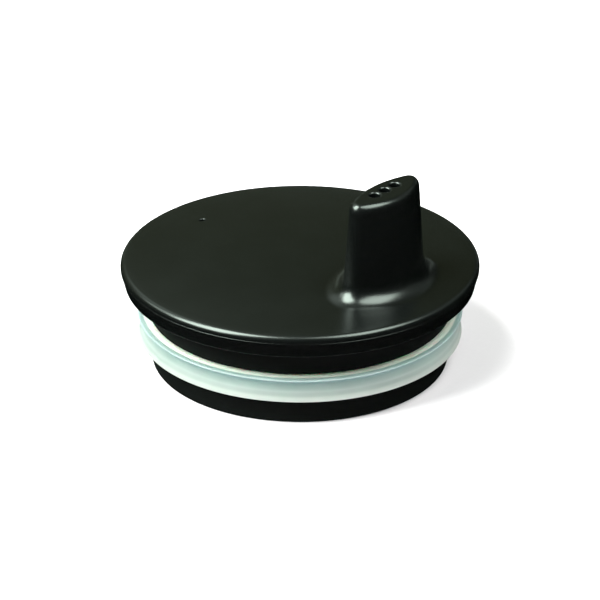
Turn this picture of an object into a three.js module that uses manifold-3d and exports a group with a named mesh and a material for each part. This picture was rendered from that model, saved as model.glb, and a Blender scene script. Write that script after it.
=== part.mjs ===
// Drinking-spout lid for a child's cup: one moulded lid with a hollow spout, and the silicone ring that
// seals its plug inside the cup's mouth. Millimetres, +Z up. The origin is the centre of the plug's bottom
// edge, and the spout stands on the +X side.

import * as THREE from "three";
import { mergeVertices } from "three/addons/utils/BufferGeometryUtils.js";
import Module from "manifold-3d";

const wasm = await Module();
wasm.setup();

// ---- Driving dimensions ----

// Disc and rim flange. Heights are above the plug's bottom edge.
const RIM_RADIUS = 41;
const RIM_EDGE_RADIUS = 1.4; // rounding of the disc's top edge
const RIM_EDGE_HEIGHT = 23.2; // centre of that rounding
const CROWN_RISE = 2.0; // middle of the disc above its edge
const PLATE_THICKNESS = 2.2;
const FLANGE_BOTTOM_RADIUS = 40.05;
const FLANGE_BOTTOM_HEIGHT = 19.3;
const FLANGE_EDGE_CHAMFER = 0.35;

// Plug below the flange
const NECK_RADIUS = 34.7;
const NECK_BOTTOM_HEIGHT = 12.4;
const GROOVE_RADIUS = 32.9;
const GROOVE_BOTTOM_HEIGHT = 6.25;
const SKIRT_RADIUS = 34.1;
const CAVITY_RADIUS = 31.5;
const CAVITY_CORNER_RADIUS = 0.8;
const SKIRT_EDGE_CHAMFER = 0.5;

// Seal ring, clear of its groove on every side
const SEAL_GAP = 0.3;
const SEAL_INNER_RADIUS = GROOVE_RADIUS + SEAL_GAP;
const SEAL_TOP_HEIGHT = NECK_BOTTOM_HEIGHT - SEAL_GAP;
const SEAL_BOTTOM_HEIGHT = GROOVE_BOTTOM_HEIGHT + SEAL_GAP;
const UPPER_LIP_RADIUS = 37.3;
const UPPER_LIP_ROUNDING = 0.3;
const LOWER_LIP_RADIUS = 37.2;
const LOWER_LIP_ROUNDING = 0.4;
const LIP_VALLEY_RADIUS = 36.35;
const LIP_VALLEY_HEIGHT = 10.9;

// Spout. Its long axis lies across the +X direction.
const SPOUT_OFFSET = 24; // from the lid's axis to the spout's axis
const SPOUT_TOP_HEIGHT = 48.2;
const SPOUT_EDGE_INSET = 1.45; // its top edge is rounded, a little deeper than it is wide
const SPOUT_EDGE_DROP = 2.1;
const SPOUT_FILLET_RADIUS = 4; // where it meets the disc
const SPOUT_FOOT = { halfLength: 12.8, outerBulge: 7.1, innerBulge: 6.9, endRadius: 3.5 };
const SPOUT_TIP = { halfLength: 11.15, outerBulge: 5.5, innerBulge: 4.1, endRadius: 2.25 };
const SPOUT_WALL = 1.7;
const SPOUT_ROOF = 1.8;
const SPOUT_HOLE_RADIUS = 1.25;
const SPOUT_HOLE_PITCH = 3.6;
const SPOUT_HOLE_COUNT = 3;

// Air hole, opposite the spout
const VENT_RADIUS = 0.75;
const VENT_OFFSET = 29.2;

// Fineness of the faceted surfaces
const TURNED_SEGMENTS = 96;
const ARC_DIVISIONS = 3;
const HOLE_SEGMENTS = 24;
const OUTLINE_SIDE_STEPS = 10;
const OUTLINE_END_STEPS = 6;
const EDGE_STEPS = 4;
const CUT_MARGIN = 1; // how far a cutter runs past the face that it cuts

// ---- Crown of the disc: a shallow paraboloid that runs into the rim's rounding without a crease ----

const CROWN_EDGE_RADIUS = RIM_RADIUS - RIM_EDGE_RADIUS;
const CROWN_EDGE_SLOPE = Math.atan((2 * CROWN_RISE) / CROWN_EDGE_RADIUS);
const DISC_EDGE_RADIUS = CROWN_EDGE_RADIUS + RIM_EDGE_RADIUS * Math.sin(CROWN_EDGE_SLOPE);
const DISC_EDGE_HEIGHT = RIM_EDGE_HEIGHT + RIM_EDGE_RADIUS * Math.cos(CROWN_EDGE_SLOPE);
const DISC_CENTRE_HEIGHT = DISC_EDGE_HEIGHT + CROWN_RISE;

function discHeight(radius) {
  return DISC_CENTRE_HEIGHT - CROWN_RISE * (radius / DISC_EDGE_RADIUS) ** 2;
}

// ---- Solids ----

function solidFrom(geometry) {
  geometry.deleteAttribute("normal");
  geometry.deleteAttribute("uv");
  const merged = mergeVertices(geometry, 1e-4);
  return new wasm.Manifold(
    new wasm.Mesh({
      numProp: 3,
      vertProperties: new Float32Array(merged.attributes.position.array),
      triVerts: new Uint32Array(merged.index.array),
    }),
  );
}

function geometryFrom(solid) {
  const mesh = solid.getMesh();
  const geometry = new THREE.BufferGeometry();
  geometry.setAttribute("position", new THREE.BufferAttribute(mesh.vertProperties, 3));
  geometry.setIndex(new THREE.BufferAttribute(mesh.triVerts, 1));
  geometry.computeVertexNormals();
  return geometry;
}

// Turns a profile drawn in radius and height about the lid's axis.
function turned(path) {
  const geometry = new THREE.LatheGeometry(path.getPoints(ARC_DIVISIONS), TURNED_SEGMENTS);
  geometry.rotateX(Math.PI / 2);
  return geometry;
}

// Closed solid through outlines that all have the same number of points, from the lowest to the highest.
function loft(layers) {
  const count = layers[0].length;
  const indices = [];
  for (let layer = 0; layer < layers.length - 1; layer++) {
    for (let i = 0; i < count; i++) {
      const low = layer * count + i;
      const lowNext = layer * count + ((i + 1) % count);
      indices.push(low, lowNext, lowNext + count, low, lowNext + count, low + count);
    }
  }
  const topStart = (layers.length - 1) * count;
  for (const [a, b, c] of THREE.ShapeUtils.triangulateShape(layers[0], [])) {
    indices.push(a, c, b, topStart + a, topStart + b, topStart + c);
  }
  const geometry = new THREE.BufferGeometry();
  const positions = layers.flat().flatMap((point) => [point.x, point.y, point.z]);
  geometry.setAttribute("position", new THREE.Float32BufferAttribute(positions, 3));
  geometry.setIndex(indices);
  return geometry;
}

function uprightCylinder(radius, bottom, top, x, y) {
  const geometry = new THREE.CylinderGeometry(radius, radius, top - bottom, HOLE_SEGMENTS);
  geometry.rotateX(Math.PI / 2);
  geometry.translate(x, y, (bottom + top) / 2);
  return geometry;
}

// ---- Turned part of the lid: plate, plug and rim ----

function lidProfile() {
  const cornerRadius = CAVITY_RADIUS - CAVITY_CORNER_RADIUS;
  const cavityRoof = discHeight(0) - PLATE_THICKNESS;
  const cornerRoof = discHeight(cornerRadius) - PLATE_THICKNESS;
  const path = new THREE.Path();
  // inside, from the middle of the plate down to the skirt's edge
  path.moveTo(0, cavityRoof);
  path.quadraticCurveTo(cornerRadius / 2, cavityRoof, cornerRadius, cornerRoof);
  path.quadraticCurveTo(CAVITY_RADIUS, cornerRoof, CAVITY_RADIUS, cornerRoof - CAVITY_CORNER_RADIUS);
  path.lineTo(CAVITY_RADIUS, SKIRT_EDGE_CHAMFER);
  path.lineTo(CAVITY_RADIUS + SKIRT_EDGE_CHAMFER, 0);
  // outside, from the skirt's edge up past the seal's groove to the flange
  path.lineTo(SKIRT_RADIUS - SKIRT_EDGE_CHAMFER, 0);
  path.lineTo(SKIRT_RADIUS, SKIRT_EDGE_CHAMFER);
  path.lineTo(SKIRT_RADIUS, GROOVE_BOTTOM_HEIGHT);
  path.lineTo(GROOVE_RADIUS, GROOVE_BOTTOM_HEIGHT);
  path.lineTo(GROOVE_RADIUS, NECK_BOTTOM_HEIGHT);
  path.lineTo(NECK_RADIUS, NECK_BOTTOM_HEIGHT);
  path.lineTo(NECK_RADIUS, FLANGE_BOTTOM_HEIGHT);
  path.lineTo(FLANGE_BOTTOM_RADIUS - FLANGE_EDGE_CHAMFER, FLANGE_BOTTOM_HEIGHT);
  path.lineTo(FLANGE_BOTTOM_RADIUS, FLANGE_BOTTOM_HEIGHT + FLANGE_EDGE_CHAMFER);
  path.lineTo(RIM_RADIUS, RIM_EDGE_HEIGHT);
  // rounded rim and crowned top
  path.absarc(CROWN_EDGE_RADIUS, RIM_EDGE_HEIGHT, RIM_EDGE_RADIUS, 0, Math.PI / 2 - CROWN_EDGE_SLOPE);
  path.quadraticCurveTo(DISC_EDGE_RADIUS / 2, DISC_CENTRE_HEIGHT, 0, DISC_CENTRE_HEIGHT);
  return path;
}

// ---- Spout ----

// Shallow arc that bulges out by `bulge` and runs smoothly into round ends `endCentre` away on both sides.
function sideArc(endCentre, bulge, endRadius) {
  const radius = (endCentre ** 2 + bulge ** 2 - endRadius ** 2) / (2 * (bulge - endRadius));
  return { radius, centre: bulge - radius, halfAngle: Math.atan2(endCentre, radius - bulge) };
}

function arcPoints(x, y, radius, from, to, steps) {
  const curve = new THREE.EllipseCurve(x, y, radius, radius, from, to);
  return curve.getPoints(steps).slice(0, -1);
}

// Outline across the spout, anticlockwise about the spout's axis: an outer and an inner arc with round ends.
// `offset` moves the whole outline outwards by that much.
function spoutOutline(section, offset) {
  const endCentre = section.halfLength - section.endRadius;
  const endRadius = section.endRadius + offset;
  const outer = sideArc(endCentre, section.outerBulge + offset, endRadius);
  const inner = sideArc(endCentre, section.innerBulge + offset, endRadius);
  const outerStart = 2 * Math.PI - outer.halfAngle;
  const outerEnd = outer.halfAngle;
  const innerStart = Math.PI - inner.halfAngle;
  const innerEnd = Math.PI + inner.halfAngle;
  return [
    ...arcPoints(outer.centre, 0, outer.radius, -outerEnd, outerEnd, OUTLINE_SIDE_STEPS),
    ...arcPoints(0, endCentre, endRadius, outerEnd, innerStart, OUTLINE_END_STEPS),
    ...arcPoints(-inner.centre, 0, inner.radius, innerStart, innerEnd, OUTLINE_SIDE_STEPS),
    ...arcPoints(0, -endCentre, endRadius, innerEnd, outerStart, OUTLINE_END_STEPS),
  ];
}

// The spout's section at a height: it tapers evenly from foot to tip.
function spoutSection(height) {
  const share = (height - discHeight(SPOUT_OFFSET)) / (SPOUT_TOP_HEIGHT - discHeight(SPOUT_OFFSET));
  const section = {};
  for (const key of Object.keys(SPOUT_FOOT)) {
    section[key] = THREE.MathUtils.lerp(SPOUT_FOOT[key], SPOUT_TIP[key], share);
  }
  return section;
}

function spoutLayer(height, offset) {
  const outline = spoutOutline(spoutSection(height), offset);
  return outline.map((point) => new THREE.Vector3(point.x + SPOUT_OFFSET, point.y, height));
}

// Layer of the fillet at the spout's foot, which follows the crown of the disc.
function filletLayer(angle) {
  const offset = SPOUT_FILLET_RADIUS * (1 - Math.sin(angle));
  const rise = SPOUT_FILLET_RADIUS * (1 - Math.cos(angle));
  const layer = spoutLayer(discHeight(SPOUT_OFFSET) + rise, offset);
  for (const point of layer) {
    point.z = discHeight(Math.hypot(point.x, point.y)) + rise;
  }
  return layer;
}

function spoutShell() {
  const layers = [spoutLayer(discHeight(SPOUT_OFFSET) - PLATE_THICKNESS / 2, SPOUT_FILLET_RADIUS)];
  for (let step = 1; step <= EDGE_STEPS; step++) {
    layers.push(filletLayer(((Math.PI / 2) * step) / EDGE_STEPS));
  }
  for (let step = 0; step <= EDGE_STEPS; step++) {
    const angle = ((Math.PI / 2) * step) / EDGE_STEPS;
    const height = SPOUT_TOP_HEIGHT - SPOUT_EDGE_DROP * (1 - Math.sin(angle));
    layers.push(spoutLayer(height, -SPOUT_EDGE_INSET * (1 - Math.cos(angle))));
  }
  return loft(layers);
}

function spoutHollow() {
  const bottom = discHeight(SPOUT_OFFSET) - PLATE_THICKNESS - CUT_MARGIN;
  const top = SPOUT_TOP_HEIGHT - SPOUT_ROOF;
  return loft([spoutLayer(bottom, -SPOUT_WALL), spoutLayer(top, -SPOUT_WALL)]);
}

function spoutHoles() {
  const holes = [];
  for (let i = 0; i < SPOUT_HOLE_COUNT; i++) {
    const y = (i - (SPOUT_HOLE_COUNT - 1) / 2) * SPOUT_HOLE_PITCH;
    const bottom = SPOUT_TOP_HEIGHT - SPOUT_ROOF - CUT_MARGIN;
    holes.push(uprightCylinder(SPOUT_HOLE_RADIUS, bottom, SPOUT_TOP_HEIGHT + CUT_MARGIN, SPOUT_OFFSET, y));
  }
  return holes;
}

function ventHole() {
  const top = discHeight(VENT_OFFSET);
  return uprightCylinder(VENT_RADIUS, top - PLATE_THICKNESS - CUT_MARGIN, top + CUT_MARGIN, -VENT_OFFSET, 0);
}

function lidGeometry() {
  let lid = solidFrom(turned(lidProfile())).add(solidFrom(spoutShell()));
  for (const cutter of [spoutHollow(), ...spoutHoles(), ventHole()]) {
    lid = lid.subtract(solidFrom(cutter));
  }
  return geometryFrom(lid);
}

// ---- Seal ring: a flat-topped band with an upper and a lower lip ----

function sealProfile() {
  const upperTurn = UPPER_LIP_RADIUS - UPPER_LIP_ROUNDING;
  const upperTurnHeight = SEAL_TOP_HEIGHT - UPPER_LIP_ROUNDING;
  const lowerTurn = LOWER_LIP_RADIUS - LOWER_LIP_ROUNDING;
  const lowerTurnHeight = SEAL_BOTTOM_HEIGHT + LOWER_LIP_ROUNDING;
  const flareHeight = (lowerTurnHeight + LIP_VALLEY_HEIGHT) / 2;
  const path = new THREE.Path();
  path.moveTo(SEAL_INNER_RADIUS, SEAL_BOTTOM_HEIGHT);
  path.lineTo(lowerTurn, SEAL_BOTTOM_HEIGHT);
  path.absarc(lowerTurn, lowerTurnHeight, LOWER_LIP_ROUNDING, -Math.PI / 2, 0);
  path.quadraticCurveTo(LIP_VALLEY_RADIUS, flareHeight, LIP_VALLEY_RADIUS, LIP_VALLEY_HEIGHT);
  path.quadraticCurveTo(LIP_VALLEY_RADIUS, upperTurnHeight, UPPER_LIP_RADIUS, upperTurnHeight);
  path.absarc(upperTurn, upperTurnHeight, UPPER_LIP_ROUNDING, 0, Math.PI / 2);
  path.lineTo(SEAL_INNER_RADIUS, SEAL_TOP_HEIGHT);
  path.lineTo(SEAL_INNER_RADIUS, SEAL_BOTTOM_HEIGHT);
  return path;
}

// ---- Assembly ----

const lidMaterial = new THREE.MeshStandardMaterial({ color: 0x23251f, roughness: 0.38, metalness: 0 });
const sealMaterial = new THREE.MeshStandardMaterial({ color: 0xd5e2dc, roughness: 0.45, metalness: 0 });

const lidBody = new THREE.Mesh(lidGeometry(), lidMaterial);
lidBody.name = "lid_body";

const sealRing = new THREE.Mesh(turned(sealProfile()), sealMaterial);
sealRing.name = "seal_ring";

const lid = new THREE.Group();
lid.add(lidBody, sealRing);

export default lid;
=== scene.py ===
"""Looks of a drinking-spout lid and its silicone seal ring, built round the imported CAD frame.

The frame's axes are kept: +Z up, the lid's axis on Z, the spout on the +X side. Shapes are worked out in
millimetres, with the CAD's own sizes, and scaled to metres once, when they become meshes.
"""

import math

import bmesh
import bpy
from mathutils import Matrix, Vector, geometry


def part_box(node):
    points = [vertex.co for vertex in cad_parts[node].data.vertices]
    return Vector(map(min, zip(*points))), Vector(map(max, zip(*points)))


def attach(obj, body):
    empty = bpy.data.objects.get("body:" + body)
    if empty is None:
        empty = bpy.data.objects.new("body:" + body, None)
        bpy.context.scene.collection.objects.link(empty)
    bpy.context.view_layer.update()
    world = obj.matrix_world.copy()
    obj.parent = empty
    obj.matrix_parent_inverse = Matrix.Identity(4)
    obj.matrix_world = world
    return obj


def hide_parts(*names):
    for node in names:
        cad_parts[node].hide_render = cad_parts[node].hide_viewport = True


MM = 0.001

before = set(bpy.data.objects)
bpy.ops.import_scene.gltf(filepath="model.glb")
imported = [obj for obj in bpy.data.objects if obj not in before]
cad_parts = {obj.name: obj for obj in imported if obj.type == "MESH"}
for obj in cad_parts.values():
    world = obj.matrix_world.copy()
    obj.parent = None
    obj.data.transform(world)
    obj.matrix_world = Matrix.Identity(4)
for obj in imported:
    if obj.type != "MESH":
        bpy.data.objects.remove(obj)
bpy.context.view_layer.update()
_, lid_high = (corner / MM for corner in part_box("lid_body"))
ring_low, ring_high = (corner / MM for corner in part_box("seal_ring"))

# ---- Sizes of the lid, in millimetres ----

RIM_RADIUS = lid_high.x
RIM_EDGE_RADIUS = 1.4
RIM_EDGE_HEIGHT = 23.2
CROWN_RISE = 2.0
PLATE_THICKNESS = 2.2
FLANGE_BOTTOM_RADIUS = 40.05
FLANGE_BOTTOM_HEIGHT = 19.3
FLANGE_EDGE_ROUNDING = 0.3
PARTING_LINE_HEIGHT = 22.85
PARTING_LINE_WIDTH = 0.5
PARTING_LINE_PROUD = 0.08
PARTING_LINE_ROUNDING = 0.035

SATIN_TOP_HEIGHT = 19.2
NECK_RADIUS = 34.7
NECK_TOP_FILLET = 0.6
NECK_BOTTOM_HEIGHT = 12.4
GROOVE_RADIUS = 32.9
GROOVE_BOTTOM_HEIGHT = 6.25
GROOVE_ROUNDING = 0.15
SKIRT_RADIUS = 34.1
SKIRT_EDGE_ROUNDING = 0.5
CAVITY_RADIUS = 31.5
CAVITY_CORNER_RADIUS = 0.8
CEILING_EDGE_RADIUS = 30.4

SPOUT_OFFSET = 24
SPOUT_TOP_HEIGHT = lid_high.z
SPOUT_EDGE_INSET = 1.45
SPOUT_EDGE_DROP = 2.1
SPOUT_FILLET_RADIUS = 4
SPOUT_FOOT = {"half_length": 12.8, "outer_bulge": 7.1, "inner_bulge": 6.9, "end_radius": 3.5}
SPOUT_TIP = {"half_length": 11.15, "outer_bulge": 5.5, "inner_bulge": 4.1, "end_radius": 2.25}
SPOUT_WALL = 1.7
SPOUT_ROOF_THICKNESS = 1.8
SPOUT_ROOF_HEIGHT = SPOUT_TOP_HEIGHT - SPOUT_ROOF_THICKNESS
HOLLOW_ROUNDING = 0.4
HOLE_RADIUS = 1.25
HOLE_RIM_ROUNDING = 0.5
HOLE_PITCH = 3.6
HOLE_COUNT = 3

VENT_RADIUS = 0.75
VENT_OFFSET = 29.2
VENT_RIM_ROUNDING = 0.25
BORE_END_ROUNDING = 0.15

# ---- Sizes of the seal ring, in millimetres ----

SEAL_INNER_RADIUS = 33.2
SEAL_BOTTOM_HEIGHT = ring_low.z
SEAL_TOP_HEIGHT = ring_high.z
SEAL_INNER_ROUNDING = 0.3
UPPER_LIP_RADIUS = ring_high.x
UPPER_LIP_ROUNDING = 0.3
LOWER_LIP_RADIUS = 37.2
LOWER_LIP_ROUNDING = 0.4
LIP_VALLEY_RADIUS = 36.35
LIP_VALLEY_HEIGHT = 10.9

# ---- Fineness of the meshes ----

TURNED_SEGMENTS = 192
HOLE_SEGMENTS = 36
OUTLINE_SIDE_STEPS = 30
OUTLINE_END_STEPS = 14
RIM_STEPS = 14
FILLET_STEPS = 16
ROUNDING_STEPS = 10
SMALL_ROUNDING_STEPS = 5
WALL_STEPS = 10
WALL_END_SHARE = 0.01  # a straight wall has a loop this near each end, as a share of its length
CURVE_STEPS = 14
ARC_STEP = math.radians(11)
SUPPORT = 0.06  # a flat face gets a loop this close to its rounded edge, so that it shades flat
FOOT_HALO = (0.15, 0.8, 1.7, 2.8)  # how far the loops in the disc lie from the spout's fillet
FOOT_CLEARANCE = 3.6  # the disc's even points start this far from the fillet
VENT_HALO = (0.08, 0.3, 0.7, 1.3, 2.2)  # how far the rings round the air hole lie from its edge
VENT_CLEARANCE = 3
MOUTH_CLEARANCE = 0.5  # the ceiling's even points start this far from the hollow's wall
SHEET_SPACING = 1.6
WELD_DISTANCE = 0.002
FLAT_TOLERANCE = WELD_DISTANCE / 10

# ---- Crown of the disc: a shallow paraboloid that runs into the rim's rounding without a crease ----

CROWN_EDGE_RADIUS = RIM_RADIUS - RIM_EDGE_RADIUS
CROWN_EDGE_SLOPE = math.atan(2 * CROWN_RISE / CROWN_EDGE_RADIUS)
DISC_EDGE_RADIUS = CROWN_EDGE_RADIUS + RIM_EDGE_RADIUS * math.sin(CROWN_EDGE_SLOPE)
DISC_EDGE_HEIGHT = RIM_EDGE_HEIGHT + RIM_EDGE_RADIUS * math.cos(CROWN_EDGE_SLOPE)
QUARTER = math.pi / 2


def disc_height(x, y=0.0):
    """Height of the disc's top."""
    return DISC_EDGE_HEIGHT + CROWN_RISE * (1 - (x * x + y * y) / DISC_EDGE_RADIUS**2)


def ceiling_height(x, y=0.0):
    """Height of the plate's underside."""
    return disc_height(x, y) - PLATE_THICKNESS


# ---- Drawing in the plane: arcs, curves and rounded corners ----


def level(height):
    """A surface height that is the same everywhere."""
    return lambda x, y: height


def quarter_angles(steps):
    """Evenly spaced angles from 0 to a quarter turn."""
    return [QUARTER * step / steps for step in range(steps + 1)]


def arc(x, y, radius, start, end, steps):
    angles = [start + (end - start) * step / steps for step in range(steps + 1)]
    return [Vector((x + radius * math.cos(a), y + radius * math.sin(a))) for a in angles]


def circle(x, y, radius, count):
    """Evenly spaced points round a circle. The first isn't repeated at the end."""
    return arc(x, y, radius, 0, 2 * math.pi, count)[:-1]


def bend(start, control, end, steps):
    """Quadratic curve that leaves start towards control and arrives at end from it."""
    points = []
    for step in range(steps + 1):
        t = step / steps
        points.append(start.lerp(control, t).lerp(control.lerp(end, t), t))
    return points


def rounded(corners):
    """Straight runs between corners (x, y, rounding), each inner corner rounded with its own arc."""
    points = [Vector(corners[0][:2])]
    for before, here, after in zip(corners, corners[1:], corners[2:]):
        corner = Vector(here[:2])
        rounding = here[2]
        back = (Vector(before[:2]) - corner).normalized()
        ahead = (Vector(after[:2]) - corner).normalized()
        half = back.angle(ahead) / 2
        reach = rounding / math.tan(half)
        centre = corner + (back + ahead).normalized() * (rounding / math.sin(half))
        first = corner + back * reach - centre
        last = corner + ahead * reach - centre
        start = math.atan2(first.y, first.x)
        turn = math.atan2(first.x * last.y - first.y * last.x, first.dot(last))
        steps = max(2, math.ceil(abs(turn) / ARC_STEP))
        room = 2 * (reach + SUPPORT)
        if (Vector(before[:2]) - corner).length > room:
            points.append(corner + back * (reach + SUPPORT))
        points += arc(centre.x, centre.y, rounding, start, start + turn, steps)
        if (Vector(after[:2]) - corner).length > room:
            points.append(corner + ahead * (reach + SUPPORT))
    points.append(Vector(corners[-1][:2]))
    return points


def inside(loop, point):
    """Whether a point lies inside a closed loop, seen from above."""
    crossings = 0
    for a, b in zip(loop, [*loop[1:], loop[0]]):
        if (a.y > point.y) != (b.y > point.y):
            crossings += point.x < a.x + (point.y - a.y) * (b.x - a.x) / (b.y - a.y)
    return crossings % 2 == 1


# ---- Surfaces: bands between loops and sheets with holes, welded where they meet ----


class Surface:
    """Points, in millimetres, and faces that together become one closed mesh."""

    def __init__(self):
        self.points = []
        self.faces = []

    def band(self, loops):
        """Four-sided faces between closed loops that have the same number of points."""
        count = len(loops[0])
        start = len(self.points)
        self.points += [point for loop in loops for point in loop]
        for row in range(len(loops) - 1):
            low = start + row * count
            for i in range(count):
                after = (i + 1) % count
                self.faces.append((low + i, low + after, low + count + after, low + count + i))

    def sheet(self, outer, holes, inner, height):
        """Triangles from the outer loop to the holes through the inner points, laid on height(x, y)."""
        loops = [outer, *holes]
        points = [point.xy for loop in loops for point in loop]
        edges = []
        start = 0
        for loop in loops:
            edges += [(start + i, start + (i + 1) % len(loop)) for i in range(len(loop))]
            start += len(loop)
        points += [point.xy for point in inner]
        flat, _, triangles, *_ = geometry.delaunay_2d_cdt(points, edges, [], 0, FLAT_TOLERANCE)
        start = len(self.points)
        self.points += [Vector((p.x, p.y, height(p.x, p.y))) for p in flat]
        for triangle in triangles:
            middle = sum((flat[i] for i in triangle), Vector((0, 0))) / 3
            if inside(outer, middle) and not any(inside(hole, middle) for hole in holes):
                self.faces.append([start + i for i in triangle])

    def mesh_object(self, name):
        """The welded surface as a smooth object in metres. It has to be closed."""
        mesh = bpy.data.meshes.new(name)
        mesh.from_pydata(self.points, [], self.faces)
        work = bmesh.new()
        work.from_mesh(mesh)
        bmesh.ops.remove_doubles(work, verts=work.verts, dist=WELD_DISTANCE)
        bmesh.ops.recalc_face_normals(work, faces=work.faces)
        bmesh.ops.scale(work, vec=(MM, MM, MM), verts=work.verts)
        gaps = sum(not edge.is_manifold for edge in work.edges)
        if gaps:
            raise RuntimeError(f"{name} isn't closed: {gaps} edges don't join two faces")
        work.to_mesh(mesh)
        work.free()
        mesh.shade_smooth()
        piece = bpy.data.objects.new(name, mesh)
        bpy.context.scene.collection.objects.link(piece)
        return piece


def turned_loops(profile):
    """A circle about the lid's axis for each point (radius, height) of a profile."""
    loops = []
    for radius, height in profile:
        points = circle(0, 0, radius, TURNED_SEGMENTS)
        loops.append([Vector((p.x, p.y, height)) for p in points])
    return loops


def spread_points(radius, keep_clear):
    """Points on rings about the lid's axis, as far as a radius, outside the loops to keep clear of."""
    points = [Vector((0, 0))]
    rings = int(radius / SHEET_SPACING)
    for ring in range(1, rings + 1):
        ring_radius = radius * ring / (rings + 1)
        count = math.ceil(2 * math.pi * ring_radius / SHEET_SPACING)
        points += circle(0, 0, ring_radius, count)
    return [point for point in points if not any(inside(loop, point) for loop in keep_clear)]


# ---- The lid's turned surface, from the crown's edge round the rim and the plug to the ceiling ----


def flank_radius(height):
    """Radius of the flange's drafted side."""
    share = (height - FLANGE_BOTTOM_HEIGHT) / (RIM_EDGE_HEIGHT - FLANGE_BOTTOM_HEIGHT)
    return FLANGE_BOTTOM_RADIUS + (RIM_RADIUS - FLANGE_BOTTOM_RADIUS) * share


def turned_profile():
    """Section (radius, height) from the crown's edge down the outside, under the skirt and up the cavity."""
    line = PARTING_LINE_HEIGHT
    line_bottom = line - PARTING_LINE_WIDTH
    rim = arc(CROWN_EDGE_RADIUS, RIM_EDGE_HEIGHT, RIM_EDGE_RADIUS, QUARTER - CROWN_EDGE_SLOPE, 0, RIM_STEPS)
    rest = rounded([
        (RIM_RADIUS, RIM_EDGE_HEIGHT),
        (flank_radius(line), line, PARTING_LINE_ROUNDING),
        (flank_radius(line) + PARTING_LINE_PROUD, line, PARTING_LINE_ROUNDING),
        (flank_radius(line_bottom), line_bottom, PARTING_LINE_ROUNDING),
        (FLANGE_BOTTOM_RADIUS, FLANGE_BOTTOM_HEIGHT, FLANGE_EDGE_ROUNDING),
        (NECK_RADIUS, FLANGE_BOTTOM_HEIGHT, NECK_TOP_FILLET),
        (NECK_RADIUS, NECK_BOTTOM_HEIGHT, GROOVE_ROUNDING),
        (GROOVE_RADIUS, NECK_BOTTOM_HEIGHT, GROOVE_ROUNDING),
        (GROOVE_RADIUS, GROOVE_BOTTOM_HEIGHT, GROOVE_ROUNDING),
        (SKIRT_RADIUS, GROOVE_BOTTOM_HEIGHT, GROOVE_ROUNDING),
        (SKIRT_RADIUS, 0, SKIRT_EDGE_ROUNDING),
        (CAVITY_RADIUS, 0, SKIRT_EDGE_ROUNDING),
        (CAVITY_RADIUS, ceiling_height(CAVITY_RADIUS), CAVITY_CORNER_RADIUS),
        (CEILING_EDGE_RADIUS, ceiling_height(CEILING_EDGE_RADIUS)),
    ])
    return rim + rest[1:]


# ---- The spout ----


def side_arc(end_centre, bulge, end_radius):
    """(radius, centre, half angle) of a shallow arc that bulges out by bulge and runs into round ends."""
    radius = (end_centre**2 + bulge**2 - end_radius**2) / (2 * (bulge - end_radius))
    return radius, bulge - radius, math.atan2(end_centre, radius - bulge)


def spout_outline(section, offset):
    """Outline across the spout about its own axis, moved outwards by offset."""
    end_centre = section["half_length"] - section["end_radius"]
    end_radius = section["end_radius"] + offset
    outer, outer_centre, outer_half = side_arc(end_centre, section["outer_bulge"] + offset, end_radius)
    inner, inner_centre, inner_half = side_arc(end_centre, section["inner_bulge"] + offset, end_radius)
    inner_start = math.pi - inner_half
    inner_end = math.pi + inner_half
    outer_start = 2 * math.pi - outer_half
    return [
        *arc(outer_centre, 0, outer, -outer_half, outer_half, OUTLINE_SIDE_STEPS)[:-1],
        *arc(0, end_centre, end_radius, outer_half, inner_start, OUTLINE_END_STEPS)[:-1],
        *arc(-inner_centre, 0, inner, inner_start, inner_end, OUTLINE_SIDE_STEPS)[:-1],
        *arc(0, -end_centre, end_radius, inner_end, outer_start, OUTLINE_END_STEPS)[:-1],
    ]


def spout_section(height):
    """The spout's section at a height: it tapers evenly from foot to tip."""
    foot_height = disc_height(SPOUT_OFFSET)
    share = (height - foot_height) / (SPOUT_TOP_HEIGHT - foot_height)
    return {key: SPOUT_FOOT[key] + (SPOUT_TIP[key] - SPOUT_FOOT[key]) * share for key in SPOUT_FOOT}


def spout_loop(height, offset):
    """Level loop round the spout, moved outwards by offset."""
    outline = spout_outline(spout_section(height), offset)
    return [Vector((point.x + SPOUT_OFFSET, point.y, height)) for point in outline]


def laid_spout_loop(surface_height, rise, offset):
    """Loop round the spout that lies at an even rise over a surface."""
    loop = spout_loop(surface_height(SPOUT_OFFSET) + rise, offset)
    for point in loop:
        point.z = surface_height(point.x, point.y) + rise
    return loop


def wall_loops(first, last):
    """Loops that run straight from one loop to another, close together at both ends."""
    even = [step / WALL_STEPS for step in range(1, WALL_STEPS)]
    shares = [WALL_END_SHARE, *even, 1 - WALL_END_SHARE]
    return [[a.lerp(b, share) for a, b in zip(first, last)] for share in shares]


def spout_outside():
    """From the foot of the fillet up the wall and over the top edge."""
    fillet = []
    for angle in quarter_angles(FILLET_STEPS):
        rise = SPOUT_FILLET_RADIUS * (1 - math.cos(angle))
        offset = SPOUT_FILLET_RADIUS * (1 - math.sin(angle))
        fillet.append(laid_spout_loop(disc_height, rise, offset))
    edge = []
    for angle in quarter_angles(ROUNDING_STEPS):
        height = SPOUT_TOP_HEIGHT - SPOUT_EDGE_DROP * (1 - math.sin(angle))
        edge.append(spout_loop(height, -SPOUT_EDGE_INSET * (1 - math.cos(angle))))
    return [*fillet, *wall_loops(fillet[-1], edge[0]), *edge]


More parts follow.
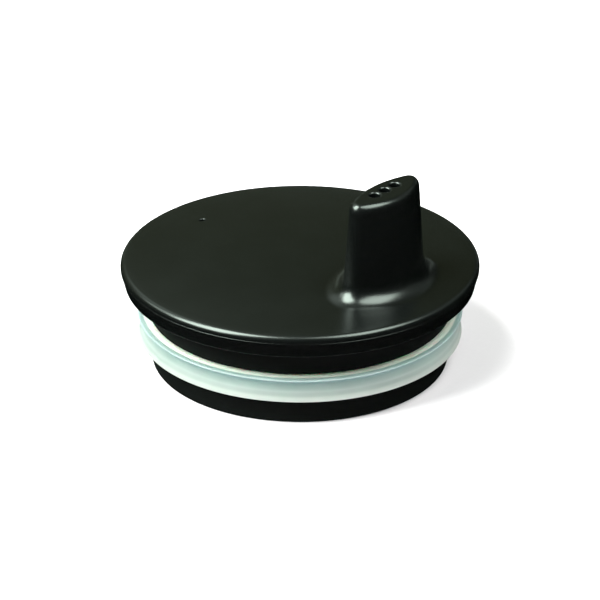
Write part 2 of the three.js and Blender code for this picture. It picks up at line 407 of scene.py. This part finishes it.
def spout_inside():
    """From the roof of the hollow down its wall and out under the plate."""
    corner = []
    for angle in quarter_angles(SMALL_ROUNDING_STEPS):
        height = SPOUT_ROOF_HEIGHT - HOLLOW_ROUNDING * (1 - math.cos(angle))
        offset = -SPOUT_WALL - HOLLOW_ROUNDING * (1 - math.sin(angle))
        corner.append(spout_loop(height, offset))
    mouth = []
    for angle in quarter_angles(SMALL_ROUNDING_STEPS):
        rise = HOLLOW_ROUNDING * (1 - math.sin(angle))
        offset = -SPOUT_WALL + HOLLOW_ROUNDING * (1 - math.cos(angle))
        mouth.append(laid_spout_loop(ceiling_height, rise, offset))
    return [*corner, *wall_loops(corner[-1], mouth[0]), *mouth]


# ---- Round holes through the plate and the spout's top ----


def bore_loops(x, y, radius, top, bottom, rim_rounding):
    """Round hole from top(x, y) down to bottom(x, y), with a rounded rim and rounded lower end."""
    sizes = []
    for angle in quarter_angles(SMALL_ROUNDING_STEPS):
        spread = rim_rounding * (1 - math.sin(angle))
        sizes.append((radius + spread, top, -rim_rounding * (1 - math.cos(angle))))
    for angle in quarter_angles(SMALL_ROUNDING_STEPS):
        spread = BORE_END_ROUNDING * (1 - math.cos(angle))
        sizes.append((radius + spread, bottom, BORE_END_ROUNDING * (1 - math.sin(angle))))
    loops = []
    for size, surface, rise in sizes:
        points = circle(x, y, size, HOLE_SEGMENTS)
        loops.append([Vector((p.x, p.y, surface(p.x, p.y) + rise)) for p in points])
    return loops


def rings_round(loop, spreads):
    """Copies of a small round loop, each larger by one of the spreads, to grade the mesh round a hole."""
    centre = sum(loop, Vector((0, 0, 0))) / len(loop)
    radius = (loop[0] - centre).xy.length
    rings = []
    for spread in spreads:
        rings.append([centre + (point - centre) * ((radius + spread) / radius) for point in loop])
    return rings


# ---- The lid, as one closed surface ----


def drinking_holes():
    """The holes through the spout's top, in a row along it."""
    top = level(SPOUT_TOP_HEIGHT)
    bottom = level(SPOUT_ROOF_HEIGHT)
    holes = []
    for i in range(HOLE_COUNT):
        y = (i - (HOLE_COUNT - 1) / 2) * HOLE_PITCH
        holes.append(bore_loops(SPOUT_OFFSET, y, HOLE_RADIUS, top, bottom, HOLE_RIM_ROUNDING))
    return holes


def add_spout(surface, outside, inside_loops):
    """The spout's walls inside and out, its flat top, the hollow's roof, and the holes through both."""
    surface.band(outside)
    holes = drinking_holes()
    for hole in holes:
        surface.band(hole)
    rims = [hole[0] for hole in holes]
    inner = spout_loop(SPOUT_TOP_HEIGHT, -SPOUT_EDGE_INSET - SUPPORT)
    for rim in rims:
        inner += rings_round(rim, [SUPPORT])[0]
    surface.sheet(outside[-1], rims, inner, level(SPOUT_TOP_HEIGHT))
    surface.band(inside_loops)
    surface.sheet(inside_loops[0], [hole[-1] for hole in holes], [], level(SPOUT_ROOF_HEIGHT))


def add_disc(surface, edge, foot, vent_rim):
    """The disc's top, between its edge, the foot of the spout's fillet and the air hole."""
    halo = [laid_spout_loop(disc_height, 0, SPOUT_FILLET_RADIUS + distance) for distance in FOOT_HALO]
    halo += rings_round(vent_rim, VENT_HALO)
    keep_clear = [laid_spout_loop(disc_height, 0, SPOUT_FILLET_RADIUS + FOOT_CLEARANCE)]
    keep_clear += rings_round(vent_rim, [VENT_CLEARANCE])
    inner = [point for loop in halo for point in loop]
    inner += spread_points(DISC_EDGE_RADIUS, keep_clear)
    surface.sheet(edge, [foot, vent_rim], inner, disc_height)


def add_ceiling(surface, edge, mouth, vent_end):
    """The plate's underside, between the cavity's corner, the hollow's mouth and the air hole."""
    keep_clear = [laid_spout_loop(ceiling_height, 0, MOUTH_CLEARANCE - SPOUT_WALL)]
    keep_clear += rings_round(vent_end, [VENT_CLEARANCE])
    inner = [point for loop in rings_round(vent_end, VENT_HALO) for point in loop]
    inner += spread_points(CEILING_EDGE_RADIUS, keep_clear)
    surface.sheet(edge, [mouth, vent_end], inner, ceiling_height)


def build_lid():
    surface = Surface()
    turned = turned_loops(turned_profile())
    outside = spout_outside()
    hollow = spout_inside()
    vent = bore_loops(-VENT_OFFSET, 0, VENT_RADIUS, disc_height, ceiling_height, VENT_RIM_ROUNDING)
    surface.band(turned)
    add_spout(surface, outside, hollow)
    surface.band(vent)
    add_disc(surface, turned[0], outside[0], vent[0])
    add_ceiling(surface, turned[-1], hollow[-1], vent[-1])
    return surface.mesh_object("moulded_lid")


# ---- The seal ring ----


def seal_profile():
    """Closed section: flat top, thin upper lip, hollow below it, and a flared lower lip."""
    valley = Vector((LIP_VALLEY_RADIUS, LIP_VALLEY_HEIGHT))
    lower_turn = LOWER_LIP_RADIUS - LOWER_LIP_ROUNDING
    lower_turn_height = SEAL_BOTTOM_HEIGHT + LOWER_LIP_ROUNDING
    upper_turn = UPPER_LIP_RADIUS - UPPER_LIP_ROUNDING
    upper_turn_height = SEAL_TOP_HEIGHT - UPPER_LIP_ROUNDING
    flare_control = Vector((LIP_VALLEY_RADIUS, (lower_turn_height + LIP_VALLEY_HEIGHT) / 2))
    lip_control = Vector((LIP_VALLEY_RADIUS, upper_turn_height))
    middle = (SEAL_BOTTOM_HEIGHT + SEAL_TOP_HEIGHT) / 2
    lower_lip = arc(lower_turn, lower_turn_height, LOWER_LIP_ROUNDING, -QUARTER, 0, ROUNDING_STEPS)
    upper_lip = arc(upper_turn, upper_turn_height, UPPER_LIP_ROUNDING, 0, QUARTER, ROUNDING_STEPS)
    flare = bend(lower_lip[-1], flare_control, valley, CURVE_STEPS)
    hollow = bend(valley, lip_control, upper_lip[0], CURVE_STEPS)
    bottom = rounded([
        (SEAL_INNER_RADIUS, middle),
        (SEAL_INNER_RADIUS, SEAL_BOTTOM_HEIGHT, SEAL_INNER_ROUNDING),
        (lower_turn - SUPPORT, SEAL_BOTTOM_HEIGHT),
    ])
    top = rounded([
        (upper_turn - SUPPORT, SEAL_TOP_HEIGHT),
        (SEAL_INNER_RADIUS, SEAL_TOP_HEIGHT, SEAL_INNER_ROUNDING),
        (SEAL_INNER_RADIUS, middle),
    ])
    return [*bottom, *lower_lip, *flare[1:], *hollow[1:], *upper_lip[1:], *top]


def build_seal():
    surface = Surface()
    surface.band(turned_loops(seal_profile()))
    return surface.mesh_object("silicone_seal")


# ---- Materials ----


def set_stops(ramp, stops):
    """Give a colour ramp its stops, (position, colour) from low to high."""
    elements = ramp.color_ramp.elements
    elements.remove(elements[0])
    elements[0].position = stops[0][0]
    elements[0].color = (*stops[0][1], 1)
    for position, colour in stops[1:]:
        elements.new(position).color = (*colour, 1)


class NodeBook:
    """A new material and short ways to add nodes to it."""

    def __init__(self, name):
        self.material = bpy.data.materials.new(name)
        self.material.use_nodes = True
        self.tree = self.material.node_tree
        self.shader = self.tree.nodes["Principled BSDF"]
        self.place = self.tree.nodes.new("ShaderNodeTexCoord").outputs["Object"]

    def node(self, kind, inputs, **settings):
        """A new node with its settings and its inputs, each a value or another node's output."""
        node = self.tree.nodes.new("ShaderNode" + kind)
        for name, value in settings.items():
            setattr(node, name, value)
        for name, value in inputs.items():
            self.set(node, name, value)
        return node

    def set(self, node, name, value):
        if isinstance(value, bpy.types.NodeSocket):
            self.tree.links.new(value, node.inputs[name])
        else:
            node.inputs[name].default_value = value

    def finish(self, **values):
        """Fill in the shader. An underscore in a name stands for a space."""
        for name, value in values.items():
            self.set(self.shader, name.replace("_", " "), value)

    def noise(self, scale, detail=2.0, vector=None):
        place = vector or self.place
        node = self.node("TexNoise", {"Vector": place, "Scale": scale, "Detail": detail})
        return node.outputs["Fac"]

    def spread(self, value, low, high, start=0.3, end=0.7, kind="SMOOTHERSTEP"):
        """Map a value that runs from start to end, as noise does from about 0.3 to 0.7, onto low to high."""
        inputs = {"Value": value, "From Min": start, "From Max": end, "To Min": low, "To Max": high}
        return self.node("MapRange", inputs, interpolation_type=kind).outputs["Result"]

    def ramp(self, share, stops):
        node = self.node("ValToRGB", {"Fac": share})
        set_stops(node, stops)
        return node.outputs["Color"]

    def scaled(self, colour, factor):
        node = self.node("VectorMath", {0: colour, "Scale": factor}, operation="SCALE")
        return node.outputs["Vector"]

    def mix(self, share, first, second):
        """Blend of two colours, each another node's output or (red, green, blue)."""
        node = self.node("Mix", {"Factor": share}, data_type="RGBA")
        for name, colour in (("A", first), ("B", second)):
            if isinstance(colour, tuple):
                colour = (*colour, 1)
            self.set(node, name, colour)
        return node.outputs["Result"]

    def bump(self, height, distance):
        return self.node("Bump", {"Height": height, "Distance": distance}).outputs["Normal"]


def polished_plastic():
    """Black moulded plastic from a polished mould: faint flow marks and a very fine ripple."""
    book = NodeBook("black_polished_plastic")
    flow = book.noise(scale=90, detail=4)
    grain = book.noise(scale=2600)
    book.finish(
        Base_Color=book.mix(flow, (0.0016, 0.0019, 0.0019), (0.0023, 0.0027, 0.0026)),
        Roughness=book.spread(flow, low=0.25, high=0.27),
        Normal=book.bump(grain, distance=0.004 * MM),
    )
    return book.material


def satin_plastic():
    """The same plastic on the plug, where the mould was only blasted."""
    book = NodeBook("black_satin_plastic")
    flow = book.noise(scale=70, detail=3)
    grain = book.noise(scale=3500)
    book.finish(
        Base_Color=book.mix(flow, (0.0027, 0.0033, 0.0031), (0.0037, 0.0043, 0.004)),
        Roughness=book.spread(flow, low=0.66, high=0.74),
        Specular_IOR_Level=0.07,
        Normal=book.bump(grain, distance=0.012 * MM),
    )
    return book.material


# The darker cyan bands from 0.54 to 0.95 are painted shade, the upper lip's shadow over the valley. The ring
# is also paler towards the bottom.
SEAL_BANDS_WITH_PAINTED_SHADE = (  # share of the ring's height, and the silicone's colour there
    (0.0, (0.60, 0.60, 0.58)),
    (0.20, (0.60, 0.62, 0.60)),
    (0.29, (0.49, 0.53, 0.52)),
    (0.42, (0.57, 0.62, 0.61)),
    (0.54, (0.45, 0.53, 0.51)),
    (0.70, (0.40, 0.51, 0.49)),
    (0.86, (0.33, 0.49, 0.50)),
    (0.95, (0.38, 0.52, 0.53)),
    (1.0, (0.44, 0.55, 0.55)),
)
# Painted light: the ring's top beside the neck lies in the flange's shade, and this lighter cream, with less
# transmission, stands in for light let through the lip.
PAINTED_LIGHT_CREAM = (0.96, 0.93, 0.85)
CREAM_FULL_RADIUS = UPPER_LIP_RADIUS - 1.6
CREAM_END_RADIUS = UPPER_LIP_RADIUS - 0.9
CREAM_START_SHARE = 0.88  # the cream beside the neck begins at this share of the ring's height
CREAM_FULL_SHARE = 0.96
BAND_TRANSMISSION = 0.55
CREAM_TRANSMISSION = 0.1


def radius_and_height(book):
    """Distance from the lid's axis and height, as outputs in metres."""
    across = book.node("SeparateXYZ", {"Vector": book.place}).outputs
    flat = book.node("CombineXYZ", {"X": across["X"], "Y": across["Y"]}).outputs["Vector"]
    radius = book.node("VectorMath", {0: flat}, operation="LENGTH").outputs["Value"]
    return radius, across["Z"]


def painted_light_beside_neck_mask(book, radius, share):
    """Mask of the painted light: 1 on the ring's top close to the neck, 0 elsewhere."""
    inner = book.spread(radius, low=1, high=0, start=CREAM_FULL_RADIUS * MM, end=CREAM_END_RADIUS * MM)
    upper = book.spread(share, low=0, high=1, start=CREAM_START_SHARE, end=CREAM_FULL_SHARE)
    return book.node("Math", {0: inner, 1: upper}, operation="MULTIPLY").outputs["Value"]


def seal_material():
    """Milky silicone drawn in fine rings: darker cyan under the upper lip as painted shade, paler below,
    cream beside the neck as painted light.
    """
    book = NodeBook("milky_silicone")
    radius, height = radius_and_height(book)
    section = book.node("CombineXYZ", {"X": radius, "Z": height}).outputs["Vector"]
    rings = book.noise(scale=900, vector=section)
    cloud = book.noise(scale=60, detail=3)
    drawn = book.node("Math", {0: rings, 1: cloud}, operation="ADD").outputs["Value"]
    share = book.spread(height, 0, 1, SEAL_BOTTOM_HEIGHT * MM, SEAL_TOP_HEIGHT * MM, "LINEAR")
    painted_light_beside_neck = painted_light_beside_neck_mask(book, radius, share)
    banded = book.mix(painted_light_beside_neck, book.ramp(share, SEAL_BANDS_WITH_PAINTED_SHADE), PAINTED_LIGHT_CREAM)
    book.shader.subsurface_method = "RANDOM_WALK"
    book.finish(
        Base_Color=book.scaled(banded, book.spread(drawn, low=0.9, high=1.02, start=0.75, end=1.25)),
        Roughness=book.spread(rings, low=0.53, high=0.63),
        IOR=1.41,
        Transmission_Weight=book.spread(painted_light_beside_neck, BAND_TRANSMISSION, CREAM_TRANSMISSION, 0, 1, "LINEAR"),
        Subsurface_Weight=1.0,
        Subsurface_Radius=(1, 1.2, 1.1),
        Subsurface_Scale=2.2 * MM,
        Normal=book.bump(rings, distance=0.02 * MM),
    )
    return book.material


def floor_material():
    """Pale matt paper."""
    book = NodeBook("pale_floor")
    fibres = book.noise(scale=900, detail=4)
    book.finish(
        Base_Color=book.mix(fibres, (0.76, 0.64, 0.72), (0.79, 0.67, 0.75)),
        Roughness=1.0,
        Specular_IOR_Level=0.0,
        Normal=book.bump(fibres, distance=0.02 * MM),
    )
    return book.material


# ---- Stage: floor, studio light and camera ----

CAMERA_AZIMUTH = math.radians(-51.2)
CAMERA_ELEVATION = math.radians(25.41)
CAMERA_DISTANCE = 0.7659
CAMERA_LENS = 201.2  # millimetres, as the sensor's width is
SENSOR_WIDTH = 36
CAMERA_TILT_BELOW = math.radians(0.64)  # the camera looks this far below the rim's centre

FLOOR_HALF = 8  # metres, as the softboxes' distance is
SOFTBOX_DISTANCE = 3
WATTS_PER_RADIANCE = math.pi  # watts for each square metre of an area light and unit of radiance
LAMP_TINT = (0.84, 1, 0.89)
BACKDROP = (0.9, 0.9, 0.9, 1)
GLOW_AZIMUTH = math.radians(165)
GLOW_ELEVATION = math.radians(45)
GLOW = (  # cosine of the angle from the glow's middle, and the glow's colour there
    (0.55, (0, 0, 0)),
    (0.74, (0.065, 0.075, 0.036)),
    (0.88, (0.09, 0.103, 0.055)),
    (0.93, (0.27, 0.32, 0.25)),
    (1, (1.0, 1.2, 1.05)),
)


def direction(azimuth, elevation):
    """Unit vector from the lid towards an azimuth and elevation."""
    reach = math.cos(elevation)
    return Vector((reach * math.cos(azimuth), reach * math.sin(azimuth), math.sin(elevation)))


def build_camera():
    data = bpy.data.cameras.new("camera")
    data.lens = CAMERA_LENS
    data.sensor_width = SENSOR_WIDTH
    camera = bpy.data.objects.new("camera", data)
    bpy.context.scene.collection.objects.link(camera)
    rim_centre = Vector((0, 0, RIM_EDGE_HEIGHT * MM))
    camera.location = rim_centre + direction(CAMERA_AZIMUTH, CAMERA_ELEVATION) * CAMERA_DISTANCE
    tilt = QUARTER - CAMERA_ELEVATION - CAMERA_TILT_BELOW
    camera.rotation_euler = (tilt, 0, CAMERA_AZIMUTH + QUARTER)
    bpy.context.scene.camera = camera


def build_floor():
    """Pale floor. It lights the lid but isn't mirrored in it: the photo's lid mirrors no white floor."""
    mesh = bpy.data.meshes.new("floor")
    corners = [(-FLOOR_HALF, -FLOOR_HALF, 0), (FLOOR_HALF, -FLOOR_HALF, 0)]
    corners += [(FLOOR_HALF, FLOOR_HALF, 0), (-FLOOR_HALF, FLOOR_HALF, 0)]
    mesh.from_pydata(corners, [], [(0, 1, 2, 3)])
    floor = bpy.data.objects.new("floor", mesh)
    bpy.context.scene.collection.objects.link(floor)
    floor.data.materials.append(floor_material())
    floor.visible_glossy = False


def add_softbox(name, azimuth, elevation, half_width, half_height, radiance):
    """Area light that faces the lid. Its direction and its half width and height are in degrees."""
    data = bpy.data.lights.new(name, "AREA")
    data.shape = "RECTANGLE"
    data.size = 2 * SOFTBOX_DISTANCE * math.tan(math.radians(half_width))
    data.size_y = 2 * SOFTBOX_DISTANCE * math.tan(math.radians(half_height))
    data.energy = radiance * WATTS_PER_RADIANCE * data.size * data.size_y
    data.color = LAMP_TINT
    lamp = bpy.data.objects.new(name, data)
    lamp.visible_camera = False
    bpy.context.scene.collection.objects.link(lamp)
    towards = direction(math.radians(azimuth), math.radians(elevation))
    lamp.location = towards * SOFTBOX_DISTANCE
    lamp.rotation_euler = towards.to_track_quat("Z", "Y").to_euler()


def build_world():
    """A dim glow at the back for the lid to mirror, and a pale backdrop beyond the floor for the camera."""
    world = bpy.data.worlds.new("studio")
    world.use_nodes = True
    nodes = world.node_tree.nodes
    links = world.node_tree.links
    place = nodes.new("ShaderNodeTexCoord")
    towards_glow = nodes.new("ShaderNodeVectorMath")
    towards_glow.operation = "DOT_PRODUCT"
    towards_glow.inputs[1].default_value = direction(GLOW_AZIMUTH, GLOW_ELEVATION)
    ramp = nodes.new("ShaderNodeValToRGB")
    set_stops(ramp, GLOW)
    ray = nodes.new("ShaderNodeLightPath")
    sky = nodes.new("ShaderNodeMix")
    sky.data_type = "RGBA"
    sky.inputs["B"].default_value = BACKDROP
    links.new(place.outputs["Generated"], towards_glow.inputs[0])
    links.new(towards_glow.outputs["Value"], ramp.inputs["Fac"])
    links.new(ramp.outputs["Color"], sky.inputs["A"])
    links.new(ray.outputs["Is Camera Ray"], sky.inputs["Factor"])
    links.new(sky.outputs["Result"], nodes["Background"].inputs["Color"])
    bpy.context.scene.world = world


def use_satin_below(piece, height):
    """Give a piece's second material to the faces below a height."""
    for face in piece.data.polygons:
        face.material_index = int(face.center.z < height)


def finish_piece(piece, node, materials):
    """Give a piece its materials, hang it on the root body and hide the CAD part it stands in for."""
    for material in materials:
        piece.data.materials.append(material)
    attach(piece, "root")
    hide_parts(node)


build_camera()
build_floor()
build_world()
add_softbox("key", azimuth=-121, elevation=50, half_width=19, half_height=22, radiance=23)
add_softbox("left_fill", azimuth=-160, elevation=33, half_width=8, half_height=9, radiance=4)
add_softbox("top_fill", azimuth=10, elevation=58, half_width=17.5, half_height=16.5, radiance=12)
add_softbox("right_fill", azimuth=70, elevation=34, half_width=25, half_height=12, radiance=0.26)
add_softbox("low_strip", azimuth=125, elevation=4, half_width=28, half_height=3, radiance=0.45)
lid = build_lid()
finish_piece(lid, "lid_body", [polished_plastic(), satin_plastic()])
use_satin_below(lid, SATIN_TOP_HEIGHT * MM)
finish_piece(build_seal(), "seal_ring", [seal_material()])
bpy.context.scene.view_settings.view_transform = "Standard"
